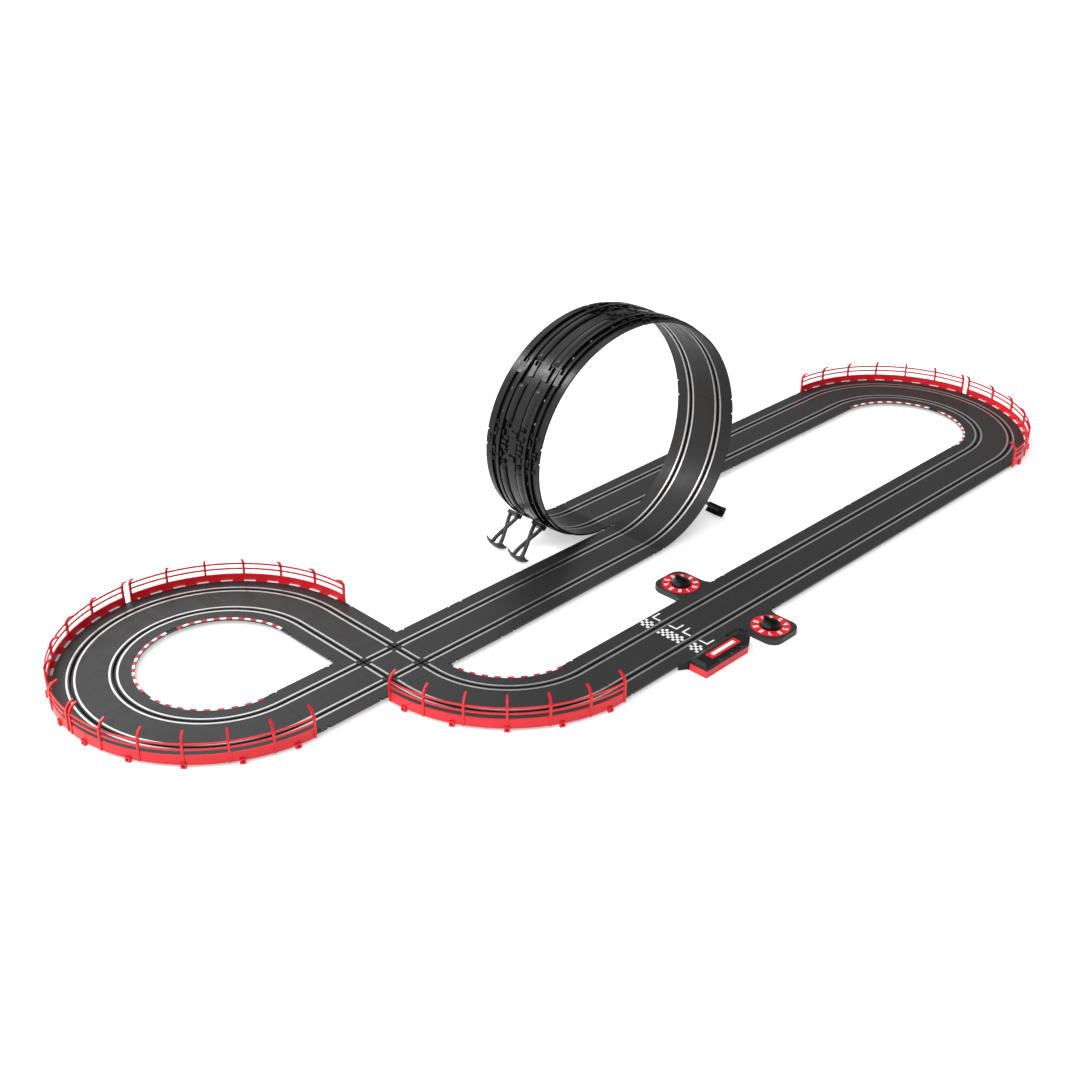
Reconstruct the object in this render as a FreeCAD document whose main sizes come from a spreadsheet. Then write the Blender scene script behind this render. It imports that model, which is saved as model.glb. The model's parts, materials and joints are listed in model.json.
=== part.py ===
import FreeCAD, Part
import Sketcher
import math
import os

# Slot racing track set with a vertical loop, assembled.
# World frame, millimetres: origin under the middle of the crossing tile on the floor,
# +X along the long straights, +Y across the layout, +Z up. Road surface is at track_height.

doc = FreeCAD.newDocument("slot_track_set")
sheet = doc.addObject("Spreadsheet::Sheet", "dims")

DIMENSIONS = [
    ("track_width", 114, "width of every flat track piece"),
    ("track_height", 9, "floor to road surface"),
    ("unit_length", 342, "length of a standard straight"),
    ("short_length", 114, "length of a short straight and of the crossing tile"),
    ("curve_radius", 171, "centre-line radius of the curves"),
    ("plate_thick", 3.0, "thickness of the road plate"),
    ("wall_thick", 2, "thickness of the walls under the road"),
    ("edge_overhang", 14, "road edge beyond the wall under it"),
    ("lane_offset", 28.5, "slot centre from the piece centre line"),
    ("slot_width", 3, "guide slot width"),
    ("slot_depth", 6.5, "guide slot depth below the road"),
    ("channel_wall", 1.7, "plastic beside the slot, under the road"),
    ("channel_base", 1.5, "plastic below the slot"),
    ("rail_offset", 5.25, "contact rail centre from slot centre"),
    ("rail_width", 3, "contact rail width"),
    ("rail_seat", 1.2, "depth of the seat the rail lies in"),
    ("rail_proud", 0.25, "rail height above the road"),
    ("rail_play", 0.05, "side play of a rail in its seat"),
    ("seam_gap", 0.3, "gap between neighbouring track pieces"),
    ("rib_thick", 1.6, "underside rib thickness"),
    ("rib_clear", 1, "ribs stop this far above the floor"),
    ("notch_length", 3.5, "edge notch along the track"),
    ("notch_depth", 2.4, "edge notch into the track"),
    ("notch_from_seam", 12, "edge notch centre from the seam"),
    ("crossing_break", 9.5, "rails stop this far from a slot crossing"),
    ("kerb_width", 4.2, "width of the red and white edge strip"),
    ("kerb_thick", 0.8, "thickness of the edge strip"),
    ("kerb_pairs", 10, "red and white pairs on each curve edge"),
    ("front_row", -228, "centre line of the row with the terminal"),
    ("far_row", 114, "centre line of the row behind the loop"),
    ("loop_centre_x", 513, "loop axis along the layout"),
    ("loop_radius", 180, "radius of the running surface of the loop"),
    ("loop_thick", 7.4, "depth of the loop moulding over its slot channels"),
    ("loop_plate", 3.0, "road plate of the loop moulding"),
    ("loop_narrowing", 0.06, "the loop starts and ends narrower than the flat pieces by this share"),
    ("loop_tall", 1.012, "height of the loop over its length"),
    ("loop_entry_shift", 3, "sideways offset where the loop begins"),
    ("loop_blend", 60, "degrees over which that offset fades"),
    ("loop_ease", 11, "ease added to the sideways drift of the loop"),
    ("fence_radius", 228.4, "inner radius of the guard fence"),
    ("fence_band_thick", 2, "thickness of the solid lower band"),
    ("fence_band_low", 4.5, "lower edge of the band"),
    ("fence_band_high", 19, "upper edge of the band"),
    ("fence_rail_low", 26.4, "underside of the lower thin rail"),
    ("fence_rail_high", 35, "underside of the upper thin rail"),
    ("fence_rail_tall", 2.3, "height of a thin rail"),
    ("fence_tip_high", 50, "top of the curved post tips"),
    ("fence_half_angle", 43.9, "half of the angle a fence covers"),
    ("fence_post_width", 3.2, "post width along the fence"),
    ("fence_post_pitch", 14.45, "degrees between posts"),
    ("fence_clip_pitch", 18.4, "degrees between the clip feet"),
    ("fence_clip_width", 7.5, "clip foot width"),
    ("counter_x", 456, "both lap counters along the layout"),
    ("counter_offset", 85, "lap counter centre from the row centre line"),
    ("counter_half", 32.5, "half width of the counter housing"),
    ("counter_ring_outer", 29.4, "outer radius of the numbered ring"),
    ("counter_ring_inner", 15.6, "inner radius of the numbered ring"),
    ("dial_radius", 14.5, "radius of the turning dial"),
    ("stem_radius", 3, "radius of the dial stem"),
    ("stem_play", 0.08, "radial clearance of the stem"),
    ("ratchet_radius", 11, "tip radius of the ratchet wheel"),
    ("ratchet_teeth", 10, "teeth, one for each lap"),
    ("lever_pivot", 48, "trip lever pivot from the row centre line"),
    ("pivot_radius", 1.5, "radius of the lever pivot"),
    ("pivot_play", 0.08, "radial clearance of the lever pivot"),
    ("terminal_left", 292, "left face of the red terminal base"),
    ("terminal_right", 386, "right face of the red terminal base"),
    ("terminal_front", -326, "front face of the terminal"),
    ("terminal_split", 12, "height where base meets cover"),
    ("terminal_top", 21, "height of the terminal cover"),
    ("support_foot_x", 172, "support foot from the loop axis along the layout"),
    ("support_top_x", 124, "support head from the loop axis along the layout"),
    ("support_head_z", 50, "height of the support head"),
    ("start_line_x", 323, "first edge of the start line"),
]
for row, (alias, value, note) in enumerate(DIMENSIONS, start=1):
    sheet.set(f"A{row}", note)
    sheet.set(f"B{row}", str(value))
    sheet.setAlias(f"B{row}", alias)
doc.recompute()


def size(name):
    return float(getattr(sheet, name))


def vec(x, y, z=0.0):
    return FreeCAD.Vector(x, y, z)


def polar(radius, degrees, z=0.0):
    angle = math.radians(degrees)
    return vec(radius * math.cos(angle), radius * math.sin(angle), z)


def placed(x, y, z=0.0, turn=0.0):
    return FreeCAD.Placement(vec(x, y, z), FreeCAD.Rotation(vec(0, 0, 1), turn))


HALF = size("track_width") / 2
HEIGHT = size("track_height")
UNIT = size("unit_length")
SHORT = size("short_length")
RADIUS = size("curve_radius")
PLATE = HEIGHT - size("plate_thick")
WALL = size("wall_thick")
LANE = size("lane_offset")
SLOT = size("slot_width") / 2
CHANNEL = SLOT + size("channel_wall")
SLOT_FLOOR = HEIGHT - size("slot_depth")
CHANNEL_FLOOR = SLOT_FLOOR - size("channel_base")
RAIL_IN = size("rail_offset") - size("rail_width") / 2
RAIL_OUT = size("rail_offset") + size("rail_width") / 2
RAIL_FLOOR = HEIGHT - size("rail_seat")
RAIL_TOP = HEIGHT + size("rail_proud")
GAP = size("seam_gap") / 2
SKIRT = HALF - size("edge_overhang")
FRONT = size("front_row")
FAR = size("far_row")
X_CONNECT = RADIUS
X_LOOP = size("loop_centre_x")
X_END = X_LOOP + 2 * UNIT
RIB_LOW = size("rib_clear")
LANES = (-LANE, LANE)

parts = []


def keep(obj, label, placement=None):
    """Register an object as one exported sub-part."""
    obj.Label = label
    if placement is not None:
        obj.Placement = placement
    parts.append(obj)
    return obj


def shape_part(label, shapes, placement=None):
    """A sub-part whose shape is computed from the sheet."""
    solids = []
    for shape in shapes:
        solids.extend(shape.Solids)
    obj = doc.addObject("Part::Feature", label)
    obj.Shape = solids[0] if len(solids) == 1 else Part.makeCompound(solids)
    return keep(obj, label, placement)


# ---------------------------------------------------------------- sketches

def plane_of(body, role):
    for feature in body.Origin.OriginFeatures:
        if feature.Role == role:
            return feature
    raise ValueError(role)


def polygon_sketch(body, name, role, polygons, lift=0.0):
    """Closed polygons drawn on one of the body's own planes."""
    sketch = body.newObject("Sketcher::SketchObject", name)
    sketch.AttachmentSupport = [(plane_of(body, role), "")]
    sketch.MapMode = "FlatFace"
    sketch.AttachmentOffset = FreeCAD.Placement(vec(0, 0, lift), FreeCAD.Rotation())
    for points in polygons:
        closed = list(points) + [points[0]]
        for start, end in zip(closed, closed[1:]):
            sketch.addGeometry(Part.LineSegment(vec(*start), vec(*end)), False)
    return sketch


def padded(body, name, sketch, length, both=False, reverse=False):
    """Pad of a fixed length or of a length bound to the sheet."""
    pad = body.newObject("PartDesign::Pad", name)
    pad.Profile = sketch
    if isinstance(length, str):
        pad.setExpression("Length", length)
    else:
        pad.Length = length
    pad.Midplane = both
    pad.Reversed = reverse
    sketch.Visibility = False
    return pad


def pocketed(body, name, sketch, length):
    """Pocket cut upwards from the sketch."""
    pocket = body.newObject("PartDesign::Pocket", name)
    pocket.Profile = sketch
    pocket.Length = length
    pocket.Reversed = True
    sketch.Visibility = False
    return pocket


def rect(x0, y0, x1, y1):
    return [(x0, y0), (x1, y0), (x1, y1), (x0, y1)]


def sector(r0, r1, degrees, width):
    """Rectangle along a radius, of the given width, at an angle."""
    angle = math.radians(degrees)
    radial = (math.cos(angle), math.sin(angle))
    across = (-radial[1] * width / 2, radial[0] * width / 2)
    corners = []
    for radius, side in ((r0, -1), (r1, -1), (r1, 1), (r0, 1)):
        corners.append((radius * radial[0] + side * across[0], radius * radial[1] + side * across[1]))
    return corners


# ---------------------------------------------------------------- track section

def road_outline(kerbed):
    """Cross-section of a flat track piece as (across, height) points."""
    points = [(-HALF, PLATE)]
    kerb_floor = HEIGHT - size("kerb_thick")
    kerb = HALF - size("kerb_width")
    if kerbed:
        points += [(-HALF, kerb_floor), (-kerb, kerb_floor), (-kerb, HEIGHT)]
    else:
        points += [(-HALF, HEIGHT)]
    for lane in LANES:
        for side in (-1, 1):
            rail = [(side * RAIL_OUT, HEIGHT), (side * RAIL_OUT, RAIL_FLOOR),
                    (side * RAIL_IN, RAIL_FLOOR), (side * RAIL_IN, HEIGHT)]
            slot = [(side * SLOT, HEIGHT), (side * SLOT, SLOT_FLOOR)]
            run = rail + slot if side < 0 else slot[::-1] + rail[::-1]
            points += [(lane + across, height) for across, height in run]
    if kerbed:
        points += [(kerb, HEIGHT), (kerb, kerb_floor), (HALF, kerb_floor)]
    else:
        points += [(HALF, HEIGHT)]
    points += [(HALF, PLATE), (SKIRT, PLATE), (SKIRT, 0), (SKIRT - WALL, 0), (SKIRT - WALL, PLATE)]
    for lane in reversed(LANES):
        points += [(lane + CHANNEL, PLATE), (lane + CHANNEL, CHANNEL_FLOOR),
                   (lane - CHANNEL, CHANNEL_FLOOR), (lane - CHANNEL, PLATE)]
    points += [(WALL - SKIRT, PLATE), (WALL - SKIRT, 0), (-SKIRT, 0), (-SKIRT, PLATE)]
    return points


# spans across the underside that ribs may fill, and the ones end walls may fill
CLIP_WINDOW = 8
RIB_SPANS = [(WALL - SKIRT, -LANE - CHANNEL), (-LANE + CHANNEL, LANE - CHANNEL),
             (LANE + CHANNEL, SKIRT - WALL)]
END_SPANS = [RIB_SPANS[0], (-LANE + CHANNEL, -CLIP_WINDOW), (CLIP_WINDOW, LANE - CHANNEL),
             RIB_SPANS[2]]
OVERLAP = 0.4


FULL = (1.0, 0.0)


def between(ends, share):
    """Width share and sideways shift part-way along a piece."""
    return tuple(first + (last - first) * share for first, last in zip(*ends))


def straight_track(label, length_name, placement, ribs, ends=(FULL, FULL)):
    """Straight piece from its own x=0 to the length; ends give (width share, shift)."""
    length = size(length_name)
    run = length - 2 * GAP
    body = doc.addObject("PartDesign::Body", label)
    if ends == (FULL, FULL):
        outline = polygon_sketch(body, label + "_section", "YZ_Plane", [road_outline(False)], GAP)
        padded(body, label + "_road", outline, f"dims.{length_name} - dims.seam_gap")
    else:
        sections = []
        for index, (share, shift) in enumerate(ends):
            points = [(across * share + shift, height) for across, height in road_outline(False)]
            sections.append(polygon_sketch(body, f"{label}_section_{index}", "YZ_Plane", [points],
                                           GAP + run * index))
        loft = body.newObject("PartDesign::AdditiveLoft", label + "_road")
        loft.Profile = sections[0]
        loft.Sections = [sections[1]]
        loft.Ruled = True
        for sketch in sections:
            sketch.Visibility = False

    def across_at(x, across):
        share, shift = between(ends, x / length)
        return across * share + shift

    walls = []
    for x0 in (GAP, GAP + run - WALL):
        for low, high in END_SPANS:
            walls.append(rect(x0, across_at(x0, low) - OVERLAP, x0 + WALL, across_at(x0, high) + OVERLAP))
    for x in ribs:
        for low, high in RIB_SPANS:
            walls.append(rect(x - size("rib_thick") / 2, across_at(x, low) - OVERLAP,
                              x + size("rib_thick") / 2, across_at(x, high) + OVERLAP))
    rib_sketch = polygon_sketch(body, label + "_rib_plan", "XY_Plane", walls, RIB_LOW)
    padded(body, label + "_ribs", rib_sketch, PLATE - RIB_LOW + OVERLAP)
    cuts = []
    along = size("notch_length") / 2
    for x in (size("notch_from_seam"), length - size("notch_from_seam")):
        for side in (-1, 1):
            inner = across_at(x, side * (HALF - size("notch_depth")))
            outer = across_at(x, side * (HALF + 1))
            cuts.append(rect(x - along, min(inner, outer), x + along, max(inner, outer)))
    notch_sketch = polygon_sketch(body, label + "_notch_plan", "XY_Plane", cuts, -1)
    pocketed(body, label + "_notches", notch_sketch, HEIGHT + 2)
    keep(body, label, placement)
    return body


CLIP_ANGLES = [size("fence_clip_pitch") * step for step in (-2, -1, 0, 1, 2)]


def curved_track(label, placement):
    """Quarter curve about its own z axis, its middle on +x."""
    body = doc.addObject("PartDesign::Body", label)
    section = [(RADIUS + across, height) for across, height in road_outline(True)]
    outline = polygon_sketch(body, label + "_section", "XZ_Plane", [section])
    turn = body.newObject("PartDesign::Revolution", label + "_road")
    turn.Profile = outline
    turn.ReferenceAxis = (outline, ["V_Axis"])
    turn.Midplane = True
    gap_angle = math.degrees(2 * GAP / RADIUS)
    turn.setExpression("Angle", f"90 - {gap_angle:.6f}")
    outline.Visibility = False
    walls = []
    end_angle = 45 - math.degrees((GAP + WALL) / (RADIUS - HALF)) - 0.1
    for degrees, spans in ((-end_angle, END_SPANS), (end_angle, END_SPANS)):
        for low, high in spans:
            walls.append(sector(RADIUS + low - OVERLAP, RADIUS + high + OVERLAP, degrees, WALL))
    for degrees in (-30, -15, 0, 15, 30):
        for low, high in RIB_SPANS:
            walls.append(sector(RADIUS + low - OVERLAP, RADIUS + high + OVERLAP, degrees,
                                size("rib_thick")))
    rib_sketch = polygon_sketch(body, label + "_rib_plan", "XY_Plane", walls, RIB_LOW)
    padded(body, label + "_ribs", rib_sketch, PLATE - RIB_LOW + OVERLAP)
    cuts = []
    for radius, sign in ((RADIUS - HALF, -1), (RADIUS + HALF, 1)):
        offset = 45 - math.degrees(size("notch_from_seam") / radius)
        inner = radius - sign * size("notch_depth")
        outer = radius + sign
        for degrees in (-offset, offset):
            cuts.append(sector(min(inner, outer), max(inner, outer), degrees, size("notch_length")))
    notch_sketch = polygon_sketch(body, label + "_notch_plan", "XY_Plane", cuts, -1)
    pocketed(body, label + "_notches", notch_sketch, HEIGHT + 2)
    keep(body, label, placement)
    return body


RIB_STEP = SHORT / 2
LONG_RIBS = [RIB_STEP * step for step in range(1, 6)]
SHORT_RIBS = [RIB_STEP]
straight_track("short_straight_back", "short_length", placed(0, HALF, 0, 90), SHORT_RIBS)
straight_track("short_straight_left", "short_length", placed(-HALF, 0, 0, 180), SHORT_RIBS)
straight_track("short_straight_right", "short_length", placed(HALF, 0, 0, 0), SHORT_RIBS)
LOOP_SHARE = 1 - size("loop_narrowing")
NEAR_ENDS = (FULL, (LOOP_SHARE, size("loop_entry_shift")))
FAR_ENDS = ((LOOP_SHARE, 0.0), FULL)
straight_track("straight_near", "unit_length", placed(X_CONNECT, 0), LONG_RIBS, NEAR_ENDS)
straight_track("straight_far_1", "unit_length", placed(X_LOOP, FAR), LONG_RIBS, FAR_ENDS)
straight_track("straight_far_2", "unit_length", placed(X_LOOP + UNIT, FAR), LONG_RIBS)
straight_track("straight_front_1", "unit_length", placed(X_LOOP, FRONT), LONG_RIBS)
straight_track("straight_front_2", "unit_length", placed(X_LOOP + UNIT, FRONT), LONG_RIBS)

# curves: label, centre x, centre y, direction of the middle
CURVES = [
    ("left_1", -RADIUS, RADIUS, 45),
    ("left_2", -RADIUS, RADIUS, 135),
    ("left_3", -RADIUS, RADIUS, 225),
    ("lower", RADIUS, -HALF, 225),
    ("right_1", X_END, -HALF, -45),
    ("right_2", X_END, -HALF, 45),
]
for name, cx, cy, middle in CURVES:
    curved_track("curve_" + name, placed(cx, cy, 0, middle))


# ---------------------------------------------------------------- connecting track

connector = straight_track("connecting_track", "unit_length", placed(X_CONNECT, FRONT),
                           [57, 114, 171, 228, 318])
pad_x = size("counter_x") - X_CONNECT
pad_y = size("counter_offset")
half = size("counter_half")
HOUSING_FOOT = 37
CORNER = 17
CORNER_STEPS = 4


def housing_edge(inset, foot):
    """Outline of a counter housing about its centre, open towards the track."""
    reach = half - inset
    points = [(-HOUSING_FOOT + inset, foot), (-reach, max(foot, HALF - pad_y) + 12)]
    for side, start in ((-1, 180), (1, 90)):
        for step in range(CORNER_STEPS + 1):
            turn = math.radians(start - 90 * step / CORNER_STEPS)
            points.append((side * (half - CORNER) + (CORNER - inset) * math.cos(turn),
                           half - CORNER + (CORNER - inset) * math.sin(turn)))
    return points + [(reach, max(foot, HALF - pad_y) + 12), (HOUSING_FOOT - inset, foot)]


def on_both_sides(points):
    """The outline at both counters, mirrored on the far one."""
    upper = [(pad_x + x, pad_y + y) for x, y in points]
    lower = [(pad_x + x, -pad_y - y) for x, y in points]
    return [upper, lower]


outer = polygon_sketch(connector, "housing_plan", "XY_Plane",
                       on_both_sides(housing_edge(0, HALF - pad_y - 0.5)), PLATE)
padded(connector, "housings", outer, "dims.plate_thick")
wall_plan = housing_edge(0, SKIRT - pad_y - 0.5) + housing_edge(WALL, SKIRT - pad_y - 0.5)[::-1]
wall_sketch = polygon_sketch(connector, "housing_wall_plan", "XY_Plane", on_both_sides(wall_plan))
padded(connector, "housing_walls", wall_sketch, PLATE + OVERLAP)
PIN_LOW = 2.6
pivots = []
for side in (-1, 1):
    centre = (pad_x, side * size("lever_pivot"))
    pivots.append([(centre[0] + size("pivot_radius") * math.cos(math.radians(a)),
                    centre[1] + size("pivot_radius") * math.sin(math.radians(a)))
                   for a in range(0, 360, 15)])
pivot_sketch = polygon_sketch(connector, "pivot_plan", "XY_Plane", pivots, PIN_LOW)
padded(connector, "lever_pivots", pivot_sketch, PLATE - PIN_LOW + OVERLAP)
LEVER_WINDOW = 16
windows = []
for side in (-1, 1):
    low = side * (LANE + SLOT - 0.2)
    high = side * (LANE + CHANNEL + 0.2)
    windows.append(rect(pad_x - LEVER_WINDOW / 2, min(low, high), pad_x + LEVER_WINDOW / 2,
                        max(low, high)))
    low = side * (SKIRT - WALL - 0.2)
    high = side * (SKIRT + 0.2)
    windows.append(rect(pad_x - LEVER_WINDOW / 2, min(low, high), pad_x + LEVER_WINDOW / 2,
                        max(low, high)))
window_sketch = polygon_sketch(connector, "lever_window_plan", "XY_Plane", windows, SLOT_FLOOR)
pocketed(connector, "lever_windows", window_sketch, PLATE - SLOT_FLOOR)
stem_hole = connector.newObject("Sketcher::SketchObject", "stem_hole_plan")
stem_hole.AttachmentSupport = [(plane_of(connector, "XY_Plane"), "")]
stem_hole.MapMode = "FlatFace"
for side in (-1, 1):
    ring = Part.Circle(vec(pad_x, side * pad_y), vec(0, 0, 1), size("stem_radius") + size("stem_play"))
    index = stem_hole.addGeometry(ring, False)
    radius_rule = stem_hole.addConstraint(Sketcher.Constraint("Radius", index, ring.Radius))
    stem_hole.setExpression(f"Constraints[{radius_rule}]", "dims.stem_radius + dims.stem_play")
pocketed(connector, "stem_holes", stem_hole, HEIGHT + 1)


# ---------------------------------------------------------------- crossing tile

def box(x0, y0, z0, x1, y1, z1):
    return Part.makeBox(x1 - x0, y1 - y0, z1 - z0, vec(x0, y0, z0))


def fused(shapes):
    first = shapes[0]
    return first.multiFuse(shapes[1:]).removeSplitter() if len(shapes) > 1 else first


BREAK = size("crossing_break")
CENTRE_FOOT = 6
edge_of_tile = HALF - GAP
RAIL_RUNS = [(-edge_of_tile, -LANE - BREAK), (-LANE + BREAK, LANE - BREAK),
             (LANE + BREAK, edge_of_tile)]
plate = box(-edge_of_tile, -edge_of_tile, PLATE, edge_of_tile, edge_of_tile, HEIGHT)
tile = [plate, box(-CENTRE_FOOT, -CENTRE_FOOT, 0, CENTRE_FOOT, CENTRE_FOOT, PLATE)]
for side in (-1, 1):
    low = min(side * edge_of_tile, side * (edge_of_tile - WALL))
    for span_low, span_high in END_SPANS:
        tile.append(box(low, span_low, RIB_LOW, low + WALL, span_high, PLATE))
        tile.append(box(span_low, low, RIB_LOW, span_high, low + WALL, PLATE))
    for lane in LANES:
        tile.append(box(-edge_of_tile, lane - CHANNEL, CHANNEL_FLOOR, edge_of_tile, lane + CHANNEL, PLATE))
        tile.append(box(lane - CHANNEL, -edge_of_tile, CHANNEL_FLOOR, lane + CHANNEL, edge_of_tile, PLATE))
    for across in (-1, 1):
        corner = [side * (SKIRT - 4), across * (SKIRT - 4)]
        tile.append(box(corner[0] - 4, corner[1] - 4, 0, corner[0] + 4, corner[1] + 4, PLATE))
tools = []
for lane in LANES:
    tools.append(box(-HALF, lane - SLOT, SLOT_FLOOR, HALF, lane + SLOT, HEIGHT + 1))
    tools.append(box(lane - SLOT, -HALF, SLOT_FLOOR, lane + SLOT, HALF, HEIGHT + 1))
    for side in (-1, 1):
        low = min(lane + side * RAIL_IN, lane + side * RAIL_OUT)
        high = max(lane + side * RAIL_IN, lane + side * RAIL_OUT)
        for start, end in RAIL_RUNS:
            tools.append(box(start, low, RAIL_FLOOR, end, high, HEIGHT + 1))
            tools.append(box(low, start, RAIL_FLOOR, high, end, HEIGHT + 1))
crossing = fused(tile)
for tool in tools:
    crossing = crossing.cut(tool)
shape_part("crossing_tile", [crossing.removeSplitter()])


# ---------------------------------------------------------------- contact rails

RAIL_ACROSS = [lane + side * size("rail_offset") for lane in LANES for side in (-1, 1)]
RAIL_HALF = size("rail_width") / 2 - size("rail_play")


def straight_rails(x0, y0, turn, length, ends=(FULL, FULL)):
    """Contact rails of a straight piece."""
    found = []
    for across in RAIL_ACROSS:
        wires = []
        for x, (share, shift) in zip((GAP, length - GAP), ends):
            low = (across - RAIL_HALF) * share + shift
            high = (across + RAIL_HALF) * share + shift
            corners = [vec(x, low, RAIL_FLOOR), vec(x, high, RAIL_FLOOR), vec(x, high, RAIL_TOP),
                       vec(x, low, RAIL_TOP)]
            wires.append(Part.makePolygon(corners + [corners[0]]))
        bar = Part.makeLoft(wires, True, True)
        bar.Placement = placed(x0, y0, 0, turn)
        found.append(bar)
    return found


def ring_sector(r0, r1, z0, z1, start, sweep):
    """Part of a flat ring about the z axis."""
    face = Part.makePolygon([vec(r0, 0, z0), vec(r1, 0, z0), vec(r1, 0, z1), vec(r0, 0, z1),
                             vec(r0, 0, z0)])
    solid = Part.Face(face).revolve(vec(0, 0, 0), vec(0, 0, 1), sweep)
    solid.rotate(vec(0, 0, 0), vec(0, 0, 1), start)
    return solid


def curved_rails(cx, cy, middle):
    """Contact rails of a quarter curve."""
    found = []
    trim = math.degrees(GAP / RADIUS)
    for across in RAIL_ACROSS:
        radius = RADIUS + across
        bar = ring_sector(radius - RAIL_HALF, radius + RAIL_HALF, RAIL_FLOOR, RAIL_TOP,
                          middle - 45 + trim, 90 - 2 * trim)
        bar.translate(vec(cx, cy))
        found.append(bar)
    return found


def curve_named(name):
    return [(cx, cy, middle) for label, cx, cy, middle in CURVES if label == name][0]


crossing_bars = []
for direction in (0, 90):
    for across in RAIL_ACROSS:
        for start, end in RAIL_RUNS:
            bar = box(start, across - RAIL_HALF, RAIL_FLOOR, end, across + RAIL_HALF, RAIL_TOP)
            bar.rotate(vec(0, 0, 0), vec(0, 0, 1), direction)
            crossing_bars.append(bar)
shape_part("rails_crossing", crossing_bars)
left_bars = straight_rails(0, HALF, 90, SHORT) + straight_rails(-HALF, 0, 180, SHORT)
for name in ("left_1", "left_2", "left_3"):
    left_bars += curved_rails(*curve_named(name))
shape_part("rails_left_loop", left_bars)
shape_part("rails_near", straight_rails(HALF, 0, 0, SHORT)
           + straight_rails(X_CONNECT, 0, 0, UNIT, NEAR_ENDS))
shape_part("rails_lower_curve", curved_rails(*curve_named("lower")))
shape_part("rails_front", straight_rails(X_CONNECT, FRONT, 0, UNIT) + straight_rails(X_LOOP, FRONT, 0, UNIT)
           + straight_rails(X_LOOP + UNIT, FRONT, 0, UNIT))
shape_part("rails_far", straight_rails(X_LOOP, FAR, 0, UNIT, FAR_ENDS)
           + straight_rails(X_LOOP + UNIT, FAR, 0, UNIT))
shape_part("rails_right_turn", curved_rails(*curve_named("right_1")) + curved_rails(*curve_named("right_2")))


# ---------------------------------------------------------------- kerb strips

PAIRS = int(size("kerb_pairs"))
KERB_STEP = 90 / (2 * PAIRS)
kerbs = {"kerb_red": [], "kerb_white": []}
for name, cx, cy, middle in CURVES:
    for low, high in ((RADIUS - HALF + 0.2, RADIUS - HALF + size("kerb_width") - 0.1),
                      (RADIUS + HALF - size("kerb_width") + 0.1, RADIUS + HALF - 0.2)):
        for step in range(2 * PAIRS):
            start = middle - 45 + step * KERB_STEP
            trim = 0.15 if step in (0, 2 * PAIRS - 1) else 0.0
            skip = math.degrees((size("notch_from_seam") + size("notch_length") / 2 + 0.4) / low)
            if step == 0:
                trim = skip
            if step == 2 * PAIRS - 1:
                trim = skip
            if trim >= KERB_STEP:
                continue
            begin = start + (trim if step == 0 else 0)
            strip = ring_sector(low, high, HEIGHT - size("kerb_thick"), HEIGHT + 0.1, begin + 0.02,
                                KERB_STEP - trim - 0.04)
            strip.translate(vec(cx, cy))
            kerbs["kerb_red" if step % 2 == 0 else "kerb_white"].append(strip)
for label, strips in kerbs.items():
    shape_part(label, strips)


# ---------------------------------------------------------------- vertical loop

LOOP_R = size("loop_radius")
LOOP_T = size("loop_thick")
LOOP_DRIFT = FAR


def loop_shift(degrees):
    """Sideways place of the loop's centre line at an angle round it."""
    drift = LOOP_DRIFT * degrees / 360 - size("loop_ease") * math.sin(math.radians(degrees))
    share = min(max(degrees, 0) / size("loop_blend"), 1)
    return drift + size("loop_entry_shift") * (1 - share * share * (3 - 2 * share))


def loop_share(degrees):
    """Width of the loop at an angle round it, as a share of the flat width."""
    return 1 - size("loop_narrowing") * math.cos(math.radians(degrees / 2)) ** 4


def loop_point(degrees, across, depth):
    """Point of the loop: angle from the bottom, offset across, depth below its road."""
    angle = math.radians(degrees)
    reach = LOOP_R + depth
    return vec(X_LOOP + reach * math.sin(angle), loop_shift(degrees) + across * loop_share(degrees),
               HEIGHT + (LOOP_R - reach * math.cos(angle)) * size("loop_tall"))


LOOP_BACK = size("loop_plate")
LOOP_SKIRT_DEPTH = 6.6
LOOP_SPINE = 9
LOOP_SPINE_DEPTH = 4.8


def loop_section():
    """Cross-section of the loop moulding as (across, depth) points."""
    points = [(-HALF, 0)]
    slot_low = 5.6
    for lane in LANES:
        for side in (-1, 1):
            rail = [(side * RAIL_OUT, 0), (side * RAIL_OUT, size("rail_seat")),
                    (side * RAIL_IN, size("rail_seat")), (side * RAIL_IN, 0)]
            slot = [(side * SLOT, 0), (side * SLOT, slot_low)]
            run = rail + slot if side < 0 else slot[::-1] + rail[::-1]
            points += [(lane + across, depth) for across, depth in run]
    under = [(HALF, LOOP_BACK), (SKIRT, LOOP_BACK), (SKIRT, LOOP_SKIRT_DEPTH),
             (SKIRT - WALL, LOOP_SKIRT_DEPTH), (SKIRT - WALL, LOOP_BACK),
             (LANE + CHANNEL, LOOP_BACK), (LANE + CHANNEL - 0.4, LOOP_T),
             (LANE - CHANNEL + 0.4, LOOP_T), (LANE - CHANNEL, LOOP_BACK),
             (LOOP_SPINE, LOOP_BACK), (LOOP_SPINE - 1, LOOP_SPINE_DEPTH)]
    points.append((HALF, 0))
    points += under
    points += [(-across, depth) for across, depth in reversed(under)]
    return points


def loop_loft(section, start, end, steps):
    """Solid swept round the loop between two angles."""
    wires = []
    for step in range(steps + 1):
        degrees = start + (end - start) * step / steps
        corners = [loop_point(degrees, across, depth) for across, depth in section]
        wires.append(Part.makePolygon(corners + [corners[0]]))
    return Part.makeLoft(wires, True, False)


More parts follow.
